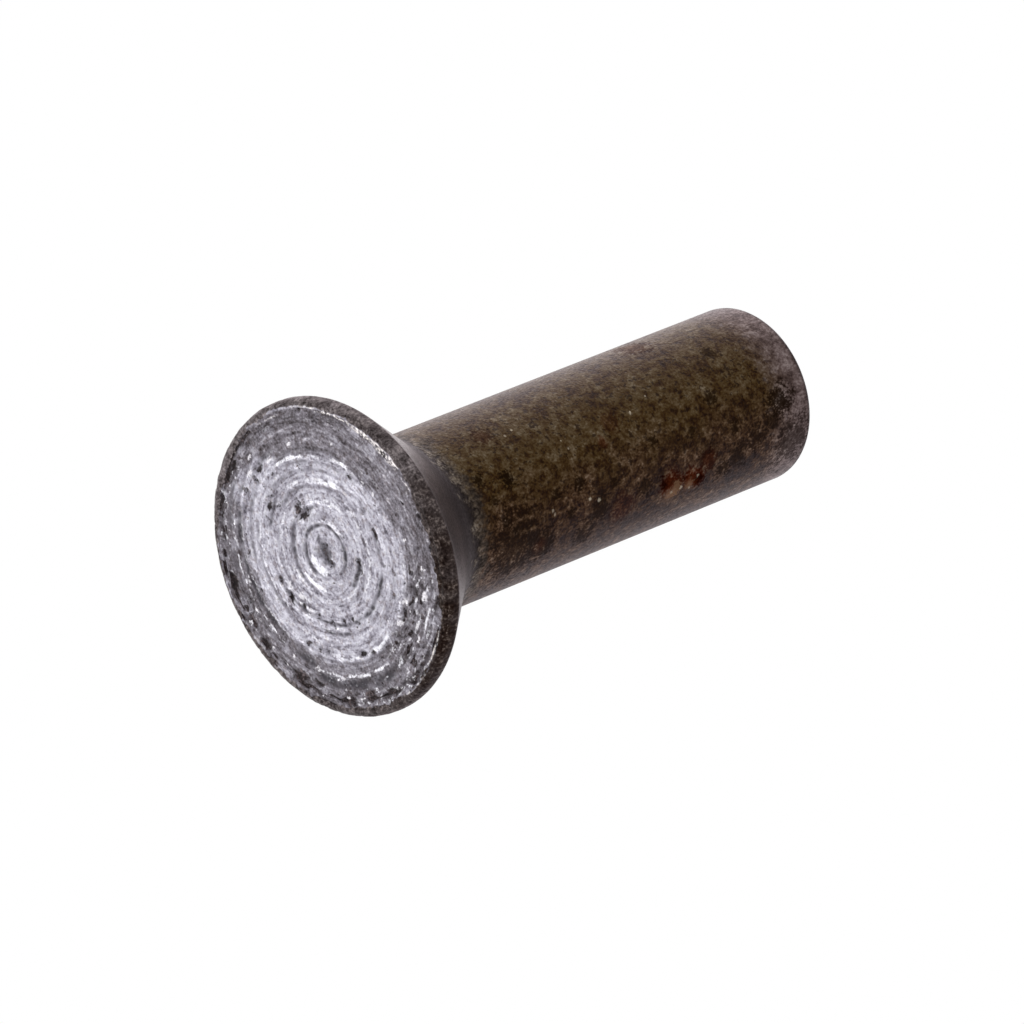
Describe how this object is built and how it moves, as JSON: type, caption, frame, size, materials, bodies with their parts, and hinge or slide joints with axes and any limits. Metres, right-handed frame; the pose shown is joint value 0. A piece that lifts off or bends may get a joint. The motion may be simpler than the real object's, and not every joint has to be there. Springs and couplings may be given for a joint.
{
  "type": "countersunk rivet",
  "caption": "Solid steel rivet with a flat countersunk head and a plain round shank, standing on its head.",
  "frame": {"origin": "centre of the flat face of the head, which the rivet stands on", "axes": "+Z along the axis of the rivet, from the head to the cut end; the punch marks are off centre towards -X"},
  "size_m": [0.0106, 0.0106, 0.02],
  "materials": {
    "steel": "cold headed steel, bare and silvery on the punched face, with dark olive-brown scale and a little rust on the rim and shank"
  },
  "bodies": {
    "root": {"rivet": "steel"}
  },
  "joints": []
}
